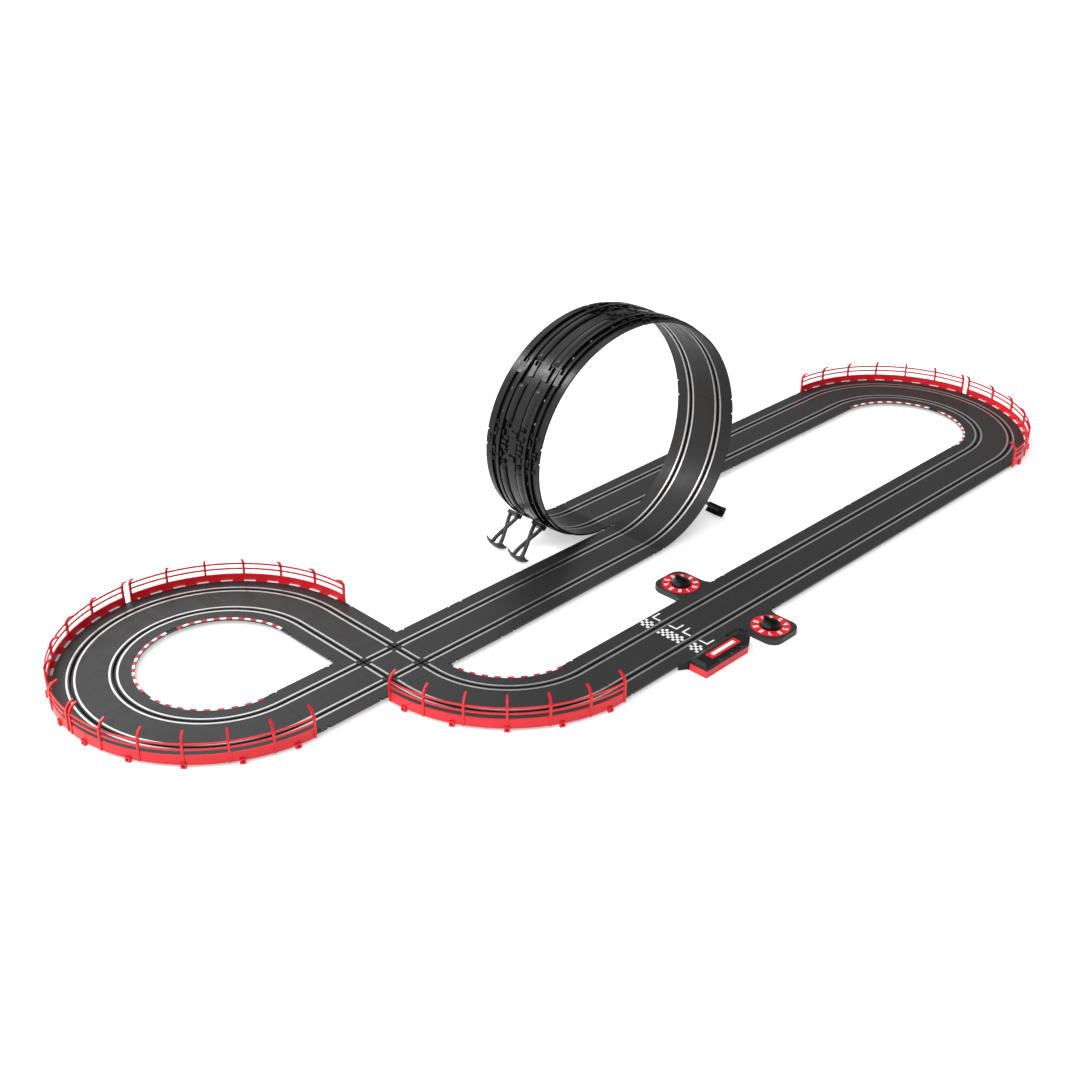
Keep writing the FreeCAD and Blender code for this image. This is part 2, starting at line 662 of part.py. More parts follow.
def loop_block(degrees, across, depth_low, depth_high, along, wide):
    """Box set on the outside of the loop, along its road."""
    low = loop_point(degrees, across, depth_low)
    deep = depth_high - depth_low
    block = Part.makeBox(along, wide, deep, vec(-along / 2, -wide / 2, -deep))
    block.rotate(vec(0, 0, 0), vec(0, 1, 0), -degrees)
    block.translate(low)
    return block


# joint details near a segment end: degrees from the seam, across, along, wide, depth
JOINT_BLOCKS = [(1.2, 46, 5, 9, 5.6), (1.2, 17, 5, 9, 6.6), (3.4, 37, 4, 5, 7.0), (3.4, 13, 4, 6, 5.8),
                (5.4, 21, 9, 2.4, 6.8), (5.4, 36, 9, 2.4, 6.8), (6.2, 0, 10, 12, 6.6),
                (8.6, 46, 5, 7, 4.6), (9.4, 16, 6, 6, 6.2), (9.4, 37, 6, 5, 6.2)]
JOINT_HOLES = [(1.6, 46, 3, 4, 3.6), (4.2, 0, 5, 5, 4.2), (7.6, 0, 3, 7, 4.8), (9.4, 16, 3, 3.4, 4.2),
               (9.4, 37, 3, 3, 4.2), (6.4, 29, 3, 3, 6.4)]
SOCKET_AFTER = 2.5
POCKET_LONG = 26
POCKETS = (-38, -14, 14, 38)
LOOP_SEAMS = (0, 92, 177, 267, 360)
FOOT_STEP = 14.6
LOOP_STEPS = 9
seam_trim = math.degrees(GAP / LOOP_R)
loop_rail_parts = []
for quarter in range(4):
    first = LOOP_SEAMS[quarter]
    last = LOOP_SEAMS[quarter + 1]
    start = first + seam_trim
    end = last - seam_trim
    band = loop_loft(loop_section(), start, end, LOOP_STEPS)
    joiners = []
    holes = []
    for seam, inwards in ((start, 1), (end, -1)):
        for away, across, along, wide, depth in JOINT_BLOCKS:
            for side in (-1, 1) if across else (1,):
                joiners.append(loop_block(seam + inwards * away, side * across, LOOP_BACK - 0.4,
                                          depth, along, wide))
        for away, across, along, wide, depth in JOINT_HOLES:
            for side in (-1, 1) if across else (1,):
                holes.append(loop_block(seam + inwards * away, side * across, depth, LOOP_T + 2,
                                        along, wide))
        notch = seam + inwards * math.degrees(size("notch_from_seam") / LOOP_R)
        for side in (-1, 1):
            holes.append(loop_block(notch, side * HALF, -2, LOOP_T + 2, size("notch_length"),
                                    2 * size("notch_depth")))
    middle = (first + last) / 2 + SOCKET_AFTER
    for across in POCKETS:
        pocket_at = middle + math.degrees(POCKET_LONG / 2 / LOOP_R)
        joiners.append(loop_block(pocket_at, across, LOOP_BACK - 0.6, 6.4, POCKET_LONG, 9.5))
        holes.append(loop_block(middle + 1.4, across, LOOP_BACK + 0.4, LOOP_T + 2, 8, 7))
    band = band.multiFuse(joiners)
    for hole in holes:
        band = band.cut(hole)
    shape_part(f"loop_segment_{quarter + 1}", [band])
    feet = [middle - 3 + FOOT_STEP * step for step in (-2.0, -1.1, -0.3, 1.3, 2.1)]
    for across in RAIL_ACROSS:
        bar = [(across - RAIL_HALF, size("rail_seat")), (across + RAIL_HALF, size("rail_seat")),
               (across + RAIL_HALF, -size("rail_proud")), (across - RAIL_HALF, -size("rail_proud"))]
        loop_rail_parts.append(loop_loft(bar, start, end, LOOP_STEPS))
        for degrees in feet:
            loop_rail_parts.append(loop_block(degrees, across, LOOP_BACK + 0.05, LOOP_BACK + 1, 3.4, 1.8))
shape_part("rails_loop", loop_rail_parts)


# ---------------------------------------------------------------- guard fences

def guard_fence(label, placement):
    """Guard fence about its own z axis, its middle on +x."""
    r_in = size("fence_radius")
    low = size("fence_band_low")
    high = size("fence_rail_high")
    tall = size("fence_rail_tall")
    tip = size("fence_tip_high")
    body = doc.addObject("PartDesign::Body", label)

    def revolve(name, points):
        sketch = polygon_sketch(body, f"{label}_{name}_section", "XZ_Plane", [points])
        turn = body.newObject("PartDesign::Revolution", f"{label}_{name}")
        turn.Profile = sketch
        turn.ReferenceAxis = (sketch, ["V_Axis"])
        turn.Midplane = True
        turn.setExpression("Angle", "2 * dims.fence_half_angle")
        sketch.Visibility = False

    band_out = r_in + size("fence_band_thick")
    revolve("band", rect(r_in, low, band_out, size("fence_band_high")))
    back = r_in + 3.2
    post = [(r_in, low), (back, low), (back, high + 1), (r_in + 1.4, high + 6),
            (r_in - 2.6, tip - 3.5), (r_in - 10, tip), (r_in - 10.8, tip - 1.9),
            (r_in - 4.6, tip - 6), (r_in - 1.2, high + 4), (r_in, high - 1)]
    post_sketch = polygon_sketch(body, label + "_post_section", "XZ_Plane", [post])
    post_pad = padded(body, label + "_post", post_sketch, "dims.fence_post_width", True)
    doc.recompute()
    for name, backwards in (("posts_up", False), ("posts_down", True)):
        pattern = body.newObject("PartDesign::PolarPattern", f"{label}_{name}")
        pattern.Originals = [post_pad]
        pattern.Axis = (plane_of(body, "Z_Axis"), [""])
        pattern.Reversed = backwards
        pattern.Occurrences = 4
        pattern.setExpression("Angle", "3 * dims.fence_post_pitch")
        body.Tip = pattern
        doc.recompute()
    rail_in = r_in + 0.6
    rail_out = r_in + 2.4
    revolve("rail_low", rect(rail_in, size("fence_rail_low"), rail_out, size("fence_rail_low") + tall))
    revolve("rail_high", rect(rail_in, high, rail_out, high + tall))
    wide = size("fence_clip_width")
    clips = [sector(r_in, r_in + 4.6, degrees, wide) for degrees in CLIP_ANGLES]
    clip_sketch = polygon_sketch(body, label + "_clip_plan", "XY_Plane", clips, 0.3)
    padded(body, label + "_clips", clip_sketch, 8)
    jaws = [sector(r_in - 9, r_in + 1, degrees, wide - 2) for degrees in CLIP_ANGLES]
    jaw_sketch = polygon_sketch(body, label + "_jaw_plan", "XY_Plane", jaws, PLATE - 3.1)
    padded(body, label + "_jaws", jaw_sketch, 3)
    eyes = [sector(r_in + 2.4, r_in + 6, degrees, 3.6) for degrees in CLIP_ANGLES]
    eye_sketch = polygon_sketch(body, label + "_eye_plan", "XY_Plane", eyes, 2.6)
    pocketed(body, label + "_eyes", eye_sketch, 3.6)
    keep(body, label, placement)


FENCE_TURN = {"left_3": -1.2}
for name, cx, cy, middle in CURVES:
    guard_fence("fence_" + name, placed(cx, cy, 0, middle + FENCE_TURN.get(name, 0)))


# ---------------------------------------------------------------- joining clips

JOINTS = [(0, HALF, 90), (-HALF, 0, 0), (HALF, 0, 0), (0, -HALF, 90), (0, HALF + SHORT, 90),
          (-HALF - SHORT, 0, 0), (-RADIUS, 2 * RADIUS, 0), (-2 * RADIUS, RADIUS, 90),
          (X_CONNECT, FRONT, 0), (X_CONNECT, 0, 0), (X_LOOP, FRONT, 0), (X_LOOP + UNIT, FRONT, 0),
          (X_END, FRONT, 0), (X_END + RADIUS, -HALF, 90), (X_END, FAR, 0), (X_LOOP + UNIT, FAR, 0)]
CLIP_LONG = 24
CLIP_WIDE = 2 * CLIP_WINDOW - 1
clips = []
for x, y, turn in JOINTS:
    clip = box(-CLIP_LONG / 2, -CLIP_WIDE / 2, PLATE - 1.6, CLIP_LONG / 2, CLIP_WIDE / 2, PLATE)
    for end in (-1, 1):
        lip = end * (CLIP_LONG / 2 - 1)
        clip = clip.fuse(box(lip - 1, -CLIP_WIDE / 2, PLATE - 4, lip + 1, CLIP_WIDE / 2, PLATE - 1.6))
    clip.Placement = placed(x, y, 0, turn)
    clips.append(clip.removeSplitter())
shape_part("joining_clips", clips)


# ---------------------------------------------------------------- loop supports

STRUT_TRACK = [(0.0, -7.5), (0.14, -7.4), (0.32, -4.2), (0.5, 0), (0.66, 4.0), (0.84, 7.6), (1.0, 8.5)]


def strut(length, mirror, half_wide, half_thick):
    """Wavy flat strut lying in its own xy plane, along x."""
    middle = [vec(length * share, mirror * across) for share, across in STRUT_TRACK]
    edges = []
    for shift in (-half_wide, half_wide):
        curve = Part.BSplineCurve()
        curve.interpolate([point + vec(0, shift) for point in middle])
        edges.append(curve.toShape())
    low, high = edges
    ends = [Part.makeLine(low.Vertexes[0].Point, high.Vertexes[0].Point),
            Part.makeLine(low.Vertexes[-1].Point, high.Vertexes[-1].Point)]
    outline = Part.Wire(Part.__sortEdges__([low, high] + ends))
    solid = Part.Face(outline).extrude(vec(0, 0, 2 * half_thick))
    solid.translate(vec(0, 0, -half_thick))
    return solid


DISH_R = 30
DISH_THICK = 2.6
DISH_HALF_WIDE = 17
DISH_HALF_TALL = 8.5
FOOT_Z = 7.7
HEAD_ANGLE = 320


def loop_support(label, side, y, foot_x):
    """Crossed struts from a dished foot to the outside of the loop."""
    foot = vec(-foot_x, 0, FOOT_Z)
    head = vec(-size("support_top_x"), 0, size("support_head_z"))
    axis = head.sub(foot)
    tilt = math.degrees(math.atan2(axis.z, axis.x))
    centre = vec(DISH_R - DISH_THICK, 0, 0)
    dish = Part.makeSphere(DISH_R, centre).cut(Part.makeSphere(DISH_R - DISH_THICK, centre))
    dish = dish.common(box(-DISH_THICK - 1, -DISH_HALF_WIDE, -DISH_HALF_TALL, 8, DISH_HALF_WIDE,
                           DISH_HALF_TALL))
    block = box(axis.Length - 8, -10.5, -7, axis.Length + 9, 10.5, 7)
    lugs = [strut(axis.Length + 2, mirror, 2.4, 2.2) for mirror in (-1, 1)]
    hub = box(-1, -11, -4, 2.5, 11, 4)
    whole = dish.multiFuse(lugs + [hub, block])
    whole.rotate(vec(0, 0, 0), vec(0, 1, 0), -tilt)
    whole.translate(foot)
    if side > 0:
        whole = whole.mirror(vec(0, 0, 0), vec(1, 0, 0))
    whole.translate(vec(X_LOOP, y))
    centre_z = HEIGHT + LOOP_R * size("loop_tall")
    touch = loop_point(HEAD_ANGLE, 0, LOOP_T)
    reach = math.hypot(touch.x - X_LOOP, touch.z - centre_z) + 0.4
    whole = whole.cut(Part.makeCylinder(reach, 60, vec(X_LOOP, y - 30, centre_z), vec(0, 1, 0)))
    whole = whole.cut(box(X_LOOP - 300, y - 60, -40, X_LOOP + 300, y + 60, 0))
    biggest = max(whole.Solids, key=lambda solid: solid.Volume)
    shape_part(label, [biggest.removeSplitter()])


FOOT_X = size("support_foot_x")
for label, side, y, foot_x in (("support_left_far", -1, 146, FOOT_X),
                               ("support_left_near", -1, 92, FOOT_X + 6),
                               ("support_right_near", 1, -28, FOOT_X + 4),
                               ("support_right_far", 1, 30, FOOT_X + 4)):
    loop_support(label, side, y, foot_x)


# ---------------------------------------------------------------- lap counters

DIAL_BASE = HEIGHT + 1.2
SEGMENTS = {"top": (0, 1, 1, 0), "middle": (0, 0, 1, 0), "low": (0, -1, 1, 0),
            "up_left": (-0.5, 0.5, 0, 1), "up_right": (0.5, 0.5, 0, 1),
            "low_left": (-0.5, -0.5, 0, 1), "low_right": (0.5, -0.5, 0, 1)}
DIGITS = ["up_right low_right", "top up_right middle low_left low", "top up_right middle low_right low",
          "up_left middle up_right low_right", "top up_left middle low_right low",
          "top up_left middle low_left low_right low", "top up_right low_right",
          "top middle low up_left up_right low_left low_right",
          "top up_left up_right middle low_right low",
          "top low up_left up_right low_left low_right"]


def numeral(strokes, tall, stroke, z0, z1):
    """Seven-stroke numeral lying flat, centred on the origin."""
    bars = []
    reach = tall / 4
    for name in strokes.split():
        x, y, flat, upright = SEGMENTS[name]
        half_x = reach if flat else 0
        half_y = reach if upright else 0
        bars.append(box(x * 2 * reach - half_x - stroke / 2, y * 2 * reach - half_y - stroke / 2, z0,
                        x * 2 * reach + half_x + stroke / 2, y * 2 * reach + half_y + stroke / 2, z1))
    return fused(bars)


def lap_counter(name, side):
    """Numbered ring, dial, ratchet and trip lever of one lap counter."""
    centre = placed(size("counter_x"), FRONT + side * pad_y, 0, 0 if side < 0 else 180)
    ring_top = HEIGHT + 0.9
    outer_r = size("counter_ring_outer")
    inner_r = size("counter_ring_inner")
    ring = Part.makeCylinder(outer_r, ring_top - HEIGHT, vec(0, 0, HEIGHT))
    ring = ring.cut(Part.makeCylinder(inner_r, 3, vec(0, 0, HEIGHT - 1)))
    shape_part(f"counter_ring_{name}", [ring], centre)
    marks = []
    for index, strokes in enumerate(DIGITS):
        mark = numeral(strokes, 6.4, 1.5, ring_top, ring_top + 0.3)
        mark.translate(vec(0, (outer_r + inner_r) / 2))
        mark.rotate(vec(0, 0, 0), vec(0, 0, 1), -36 * (index + 0.5))
        marks.append(mark)
    shape_part(f"counter_numerals_{name}", marks, centre)

    radius = size("dial_radius")
    body = doc.addObject("PartDesign::Body", f"counter_dial_{name}")
    stem = size("stem_radius")
    profile = [(0, 5.2), (stem, 5.2), (stem, DIAL_BASE), (radius, DIAL_BASE), (radius, DIAL_BASE + 2.5),
               (radius - 0.9, DIAL_BASE + 4.4), (radius - 3, DIAL_BASE + 6), (radius - 6.5, DIAL_BASE + 7.2),
               (0, DIAL_BASE + 8)]
    sketch = polygon_sketch(body, f"dial_{name}_section", "XZ_Plane", [profile])
    turn = body.newObject("PartDesign::Revolution", f"dial_{name}_dome")
    turn.Profile = sketch
    turn.ReferenceAxis = (sketch, ["V_Axis"])
    turn.Angle = 360
    sketch.Visibility = False
    fin = polygon_sketch(body, f"dial_{name}_fin_plan", "XY_Plane",
                         [[(-1.3, -radius + 4), (1.3, -radius + 4), (1.3, radius - 4),
                           (0, radius - 0.8), (-1.3, radius - 4)]], DIAL_BASE + 3)
    padded(body, f"dial_{name}_fin", fin, 8.5)
    keep(body, f"counter_dial_{name}", centre)

    tip = size("ratchet_radius")
    root = tip - 2.4
    teeth = int(size("ratchet_teeth"))
    corners = []
    for tooth in range(teeth):
        corners.append(polar(root, 360 * tooth / teeth, 2.6))
        corners.append(polar(tip, 360 * tooth / teeth + 4, 2.6))
        corners.append(polar(root + 0.5, 360 * (tooth + 0.9) / teeth, 2.6))
    wheel = Part.Face(Part.makePolygon(corners + [corners[0]])).extrude(vec(0, 0, 2.6))
    shape_part(f"counter_ratchet_{name}", [wheel], centre)

    pivot = size("pivot_radius") + size("pivot_play")
    to_slot = size("lever_pivot") - LANE
    to_wheel = pad_y - size("lever_pivot") - tip - 0.6
    arm = box(-2, -to_slot, 3.2, 2, 0, 5.2)
    arm = arm.fuse(Part.makeCylinder(3.4, 2, vec(0, 0, 3.2)))
    arm = arm.fuse(Part.makeCylinder(1, 4.6, vec(0, -to_slot, 3.2)))
    arm = arm.fuse(box(-2, 0, 3.2, 2, to_wheel - 3, 5.2))
    pawl = [vec(-2, to_wheel - 3, 3.2), vec(2, to_wheel - 3, 3.2), vec(0.8, to_wheel, 3.2),
            vec(-0.8, to_wheel, 3.2)]
    arm = arm.fuse(Part.Face(Part.makePolygon(pawl + [pawl[0]])).extrude(vec(0, 0, 2)))
    arm = arm.cut(Part.makeCylinder(pivot, 6, vec(0, 0, 2)))
    arm_place = placed(size("counter_x"), FRONT + side * size("lever_pivot"), 0, 0 if side > 0 else 180)
    shape_part(f"counter_lever_{name}", [arm.removeSplitter()], arm_place)


lap_counter("inner", 1)
lap_counter("outer", -1)


# ---------------------------------------------------------------- terminal

T_LEFT = size("terminal_left")
T_RIGHT = size("terminal_right")
T_FRONT = size("terminal_front")
T_SPLIT = size("terminal_split")
T_TOP = size("terminal_top")
T_BACK = FRONT - HALF - 0.3
BASE_BACK = T_BACK - 10
base = doc.addObject("Part::Box", "terminal_base_block")
base.setExpression("Length", "dims.terminal_right - dims.terminal_left")
base.Width = BASE_BACK - T_FRONT
base.setExpression("Height", "dims.terminal_split")
base.Placement = placed(T_LEFT, T_FRONT)
hollow = doc.addObject("Part::Box", "terminal_base_hollow")
hollow.setExpression("Length", "dims.terminal_right - dims.terminal_left - 2 * dims.wall_thick")
hollow.Width = BASE_BACK - T_FRONT - 2 * WALL
hollow.Height = T_SPLIT + 2
hollow.Placement = placed(T_LEFT + WALL, T_FRONT + WALL, -1)
shell = doc.addObject("Part::Cut", "terminal_base")
shell.Base = base
shell.Tool = hollow
keep(shell, "terminal_base")

lid_plan = [(279, T_BACK), (T_LEFT - 1, -293), (T_LEFT - 1, T_FRONT - 1), (T_RIGHT, T_FRONT - 1),
            (407, -313), (412, -290), (412, T_BACK)]
LID_LOW = T_SPLIT + 0.2
LID_REACH = lid_plan[-1][0] - lid_plan[0][0]


def prism(points, direction):
    """Solid from a closed polygon pushed along a direction."""
    return Part.Face(Part.makePolygon(points + [points[0]])).extrude(direction)


# side view: low behind the base, then level with the road, a slope, a flat top and a front bevel
side_view = [(T_BACK, 0.5), (T_BACK, HEIGHT + 0.2), (T_BACK - 14, T_TOP - 1.2), (T_BACK - 17, T_TOP),
             (T_FRONT + 5, T_TOP), (T_FRONT + 0.6, T_TOP - 4), (T_FRONT - 1, LID_LOW),
             (BASE_BACK + 0.3, LID_LOW), (BASE_BACK + 0.3, 0.5)]
lid = prism([vec(lid_plan[0][0], y, z) for y, z in side_view], vec(LID_REACH, 0))
lid = lid.common(prism([vec(x, y) for x, y in lid_plan], vec(0, 0, T_TOP + 1)))
end_view = [(lid_plan[0][0], 0), (lid_plan[0][0], HEIGHT + 0.2), (T_LEFT + 4, T_TOP), (T_RIGHT + 6, T_TOP),
            (lid_plan[-1][0], HEIGHT + 2), (lid_plan[-1][0], 0)]
lid = lid.common(prism([vec(x, T_FRONT - 5, z) for x, z in end_view], vec(0, T_BACK - T_FRONT + 10)))
apron = [(T_RIGHT + 0.3, T_BACK), (T_RIGHT + 0.3, T_FRONT + 3), (404, -312), (409, -290), (409, T_BACK)]
lid = lid.fuse(prism([vec(x, y, 0.5) for x, y in apron], vec(0, 0, T_SPLIT)))
SCREW_AT = [(x, y) for x in (T_LEFT + 8, T_RIGHT - 8) for y in (T_FRONT + 8, BASE_BACK - 8)]
for x, y in SCREW_AT:
    lid = lid.cut(Part.makeCylinder(1.3, 3, vec(x, y, LID_LOW - 1)))
SOCKET_X = (322, 346, 370)
SOCKET_R = 3.2
SOCKET_Z = T_SPLIT + 4
for x in SOCKET_X:
    lid = lid.cut(Part.makeCylinder(SOCKET_R, 12, vec(x, T_FRONT - 4, SOCKET_Z), vec(0, 1, 0)))
shape_part("terminal_cover", [lid.removeSplitter()])
sockets = []
for x in SOCKET_X:
    sleeve = Part.makeCylinder(SOCKET_R - 0.1, 8.5, vec(x, T_FRONT - 0.8, SOCKET_Z), vec(0, 1, 0))
    sleeve = sleeve.cut(Part.makeCylinder(1.6, 7, vec(x, T_FRONT - 1.8, SOCKET_Z), vec(0, 1, 0)))
    sockets.append(sleeve)
shape_part("terminal_sockets", sockets)
label_plate = box(312, -320, T_TOP, 375, -306, T_TOP + 0.9)
shape_part("terminal_label", [label_plate])
shape_part("terminal_label_bar", [box(319, -316, T_TOP + 0.9, 368, -310, T_TOP + 1.2)])
contacts = []
for index in range(4):
    x = 304 + 22 * index
    contacts.append(box(x, T_FRONT + WALL + 1, T_SPLIT - 2, x + 4, BASE_BACK - WALL - 1, T_SPLIT - 1.2))
shape_part("terminal_contacts", contacts)
screws = []
for x, y in SCREW_AT:
    screw = Part.makeCylinder(2.6, 1.6, vec(x, y, T_SPLIT - 8))
    screws.append(screw.fuse(Part.makeCylinder(1.2, 8.2, vec(x, y, T_SPLIT - 6.5))))
shape_part("terminal_screws", screws)


# ---------------------------------------------------------------- start line

LINE_X = size("start_line_x")
LINE_Z = HEIGHT + 0.01
LINE_T = 0.25
LINE_SPANS = [(-HALF + 1.5, -LANE - RAIL_OUT - 1), (-LANE + RAIL_OUT + 1, LANE - RAIL_OUT - 1),
              (LANE + RAIL_OUT + 1, HALF - 1.5)]
SQUARE = 4.6
print_marks = []
for low, high in LINE_SPANS:
    count = max(2, round((high - low) / SQUARE))
    step = (high - low) / count
    for row in range(count):
        for column in range(4):
            if (row + column) % 2 == 0:
                x = LINE_X + column * SQUARE
                y = FRONT + low + row * step
                print_marks.append(box(x + 0.05, y + 0.05, LINE_Z, x + SQUARE - 0.05, y + step - 0.05,
                                       LINE_Z + LINE_T))
MARK_X = LINE_X + 27
MARK_LONG = 17
MARK_WIDE = 2.6
for lane, outside in ((LANE, 1), (LANE, -1), (-LANE, 1), (-LANE, -1)):
    near = lane + outside * (RAIL_OUT + 1.2)
    reach = min(near + outside * 16, HALF - 1.5) if outside > 0 else max(near - 16, -HALF + 1.5)
    low = min(near, reach)
    high = max(near, reach)
    cross = box(MARK_X, FRONT + low, LINE_Z, MARK_X + MARK_WIDE, FRONT + high, LINE_Z + LINE_T)
    end = reach - MARK_WIDE if outside > 0 else reach
    along = box(MARK_X, FRONT + end, LINE_Z, MARK_X + MARK_LONG, FRONT + end + MARK_WIDE, LINE_Z + LINE_T)
    print_marks.append(cross.fuse(along).removeSplitter())
shape_part("start_line_print", print_marks)


# ---------------------------------------------------------------- write out

doc.recompute()
problems = []
for obj in doc.Objects:
    if "Invalid" in obj.State or "Error" in obj.State:
        problems.append(f"{obj.Name} {obj.State}")
os.makedirs("parts", exist_ok=True)
for part in parts:
    if part.Shape.isNull() or not part.Shape.isValid() or not part.Shape.Solids:
        problems.append(f"{part.Label} shape")
        continue
    part.Shape.exportStep(f"parts/{part.Label}.step")
if problems:
    raise RuntimeError("; ".join(problems))
print(len(parts), "sub-parts written")
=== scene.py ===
import json
import math
import bmesh
import bpy
from mathutils import Matrix, Vector


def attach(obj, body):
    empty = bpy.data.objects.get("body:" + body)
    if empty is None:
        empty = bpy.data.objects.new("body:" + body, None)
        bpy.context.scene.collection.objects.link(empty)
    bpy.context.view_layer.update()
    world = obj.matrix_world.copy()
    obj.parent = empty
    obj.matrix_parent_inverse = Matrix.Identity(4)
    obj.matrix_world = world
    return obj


# Two-lane slot track set with a vertical loop. Units: metres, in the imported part's own frame.

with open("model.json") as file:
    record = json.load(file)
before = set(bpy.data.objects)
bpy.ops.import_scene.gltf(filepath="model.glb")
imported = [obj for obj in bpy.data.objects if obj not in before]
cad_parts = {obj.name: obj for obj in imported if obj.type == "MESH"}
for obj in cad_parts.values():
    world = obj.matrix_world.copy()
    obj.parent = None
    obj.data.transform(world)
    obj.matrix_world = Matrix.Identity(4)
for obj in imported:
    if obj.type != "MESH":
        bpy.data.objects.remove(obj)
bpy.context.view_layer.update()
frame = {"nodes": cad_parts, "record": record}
NODES = frame["nodes"]
scene = bpy.context.scene

ROAD_Z = 0.009
LOOP_X = 0.513
LOOP_R = 0.180
LOOP_TALL = 1.012
LOOP_Z = ROAD_Z + LOOP_R * LOOP_TALL


# ---------------------------------------------------------------- camera

CAMERA_AZIMUTH = math.radians(-46.01)
CAMERA_ELEVATION = math.radians(28.69)
CAMERA_ROLL = math.radians(0.79)
CAMERA_DISTANCE = 2.458
CAMERA_TARGET = Vector((0.402, 0.105, ROAD_Z))
CAMERA_LENS = 51.1


def add_camera():
    """Camera at the viewing angle of the reference view."""
    level = math.cos(CAMERA_ELEVATION)
    back = Vector((math.sin(CAMERA_AZIMUTH) * level, -math.cos(CAMERA_AZIMUTH) * level,
                   math.sin(CAMERA_ELEVATION)))
    right = (-back).cross(Vector((0, 0, 1))).normalized()
    up = right.cross(-back)
    tilt_right = math.cos(CAMERA_ROLL) * right + math.sin(CAMERA_ROLL) * up
    tilt_up = math.cos(CAMERA_ROLL) * up - math.sin(CAMERA_ROLL) * right
    data = bpy.data.cameras.new("view")
    data.lens = CAMERA_LENS
    data.sensor_width = 36
    data.clip_end = 50
    camera = bpy.data.objects.new("view", data)
    turn = Matrix((tilt_right, tilt_up, back)).transposed().to_4x4()
    camera.matrix_world = Matrix.Translation(CAMERA_TARGET + back * CAMERA_DISTANCE) @ turn
    scene.collection.objects.link(camera)
    scene.camera = camera


# ---------------------------------------------------------------- materials

class Look:
    """A node material under construction, in object coordinates."""

    def __init__(self, name):
        self.material = bpy.data.materials.new(name)
        self.material.use_nodes = True
        self.tree = self.material.node_tree
        self.shader = self.tree.nodes["Principled BSDF"]
        self.place = self.node("ShaderNodeTexCoord").outputs["Object"]

    def node(self, kind, **settings):
        made = self.tree.nodes.new(kind)
        for key, value in settings.items():
            setattr(made, key, value)
        return made

    def link(self, output, socket):
        self.tree.links.new(output, socket)

    def noise(self, scale, detail):
        """Soft noise of a given fineness, per metre."""
        made = self.node("ShaderNodeTexNoise")
        made.inputs["Scale"].default_value = scale
        made.inputs["Detail"].default_value = detail
        self.link(self.place, made.inputs["Vector"])
        return made.outputs["Fac"]

    def spread(self, value, low, high, out_low=0.0, out_high=1.0):
        """Stretch a value from one range to another, clamped."""
        made = self.node("ShaderNodeMapRange")
        made.inputs["From Min"].default_value = low
        made.inputs["From Max"].default_value = high
        made.inputs["To Min"].default_value = out_low
        made.inputs["To Max"].default_value = out_high
        self.link(value, made.inputs["Value"])
        return made.outputs["Result"]

    def mix(self, factor, first, second):
        """Blend two colours, each a plain colour or an output."""
        made = self.node("ShaderNodeMix", data_type="RGBA")
        self.link(factor, made.inputs["Factor"])
        for value, socket in ((first, made.inputs[6]), (second, made.inputs[7])):
            if isinstance(value, tuple):
                socket.default_value = (*value, 1)
            else:
                self.link(value, socket)
        return made.outputs[2]

    def mix_value(self, factor, first, second):
        """Blend two number outputs."""
        made = self.node("ShaderNodeMix", data_type="FLOAT")
        self.link(factor, made.inputs[0])
        self.link(first, made.inputs[2])
        self.link(second, made.inputs[3])
        return made.outputs[0]

    def colour(self, output):
        self.link(output, self.shader.inputs["Base Color"])

    def rough(self, output):
        self.link(output, self.shader.inputs["Roughness"])

    def bump(self, height, distance):
        """Relief from a height output, in metres."""
        made = self.node("ShaderNodeBump")
        made.inputs["Distance"].default_value = distance
        self.link(height, made.inputs["Height"])
        self.link(made.outputs["Normal"], self.shader.inputs["Normal"])


MIDDLE = (0.3, 0.7)
SLOW_DRIFT = 9
PATCHES = 60
SPECK_RANGE = (0.35, 0.65)
SPECK_SHARE = 0.35
SPECK_TONE = 0.14
GLOSS = "Specular IOR Level"


def shade(colour, factor):
    return tuple(channel * factor for channel in colour)


def moulded(name, colour, low_rough, high_rough, grain=1400, depth=0.00006, drift=0.12, gloss=0.4):
    """Moulded plastic: slow colour drift, fine grain, uneven gloss."""
    look = Look(name)
    look.shader.inputs[GLOSS].default_value = gloss
    slow = look.noise(SLOW_DRIFT, 3)
    fine = look.noise(grain, 2)
    tone = look.mix(look.spread(slow, *MIDDLE), shade(colour, 1 - drift), shade(colour, 1 + drift))
    speck = look.mix(look.spread(fine, *SPECK_RANGE), shade(colour, 1 - SPECK_TONE),
                     shade(colour, 1 + SPECK_TONE))
    blend = look.node("ShaderNodeMix", data_type="RGBA")
    blend.inputs["Factor"].default_value = SPECK_SHARE
    look.link(tone, blend.inputs[6])
    look.link(speck, blend.inputs[7])
    look.colour(blend.outputs[2])
    look.rough(look.spread(look.noise(PATCHES, 4), *MIDDLE, low_rough, high_rough))
    look.bump(fine, depth)
    return look


METAL_MARKS = 900
METAL_MARK_TONE = 0.9
METAL_PATCHES = 140
METAL_RELIEF = 0.00003


def metal(name, colour, low_rough, high_rough):
    """Rolled metal with fine marks and uneven polish."""
    look = Look(name)
    look.shader.inputs["Metallic"].default_value = 1
    marks = look.noise(METAL_MARKS, 3)
    look.colour(look.mix(look.spread(marks, *MIDDLE), shade(colour, METAL_MARK_TONE),
                         colour))
    look.rough(look.spread(look.noise(METAL_PATCHES, 4), *MIDDLE, low_rough, high_rough))
    look.bump(marks, METAL_RELIEF)
    return look


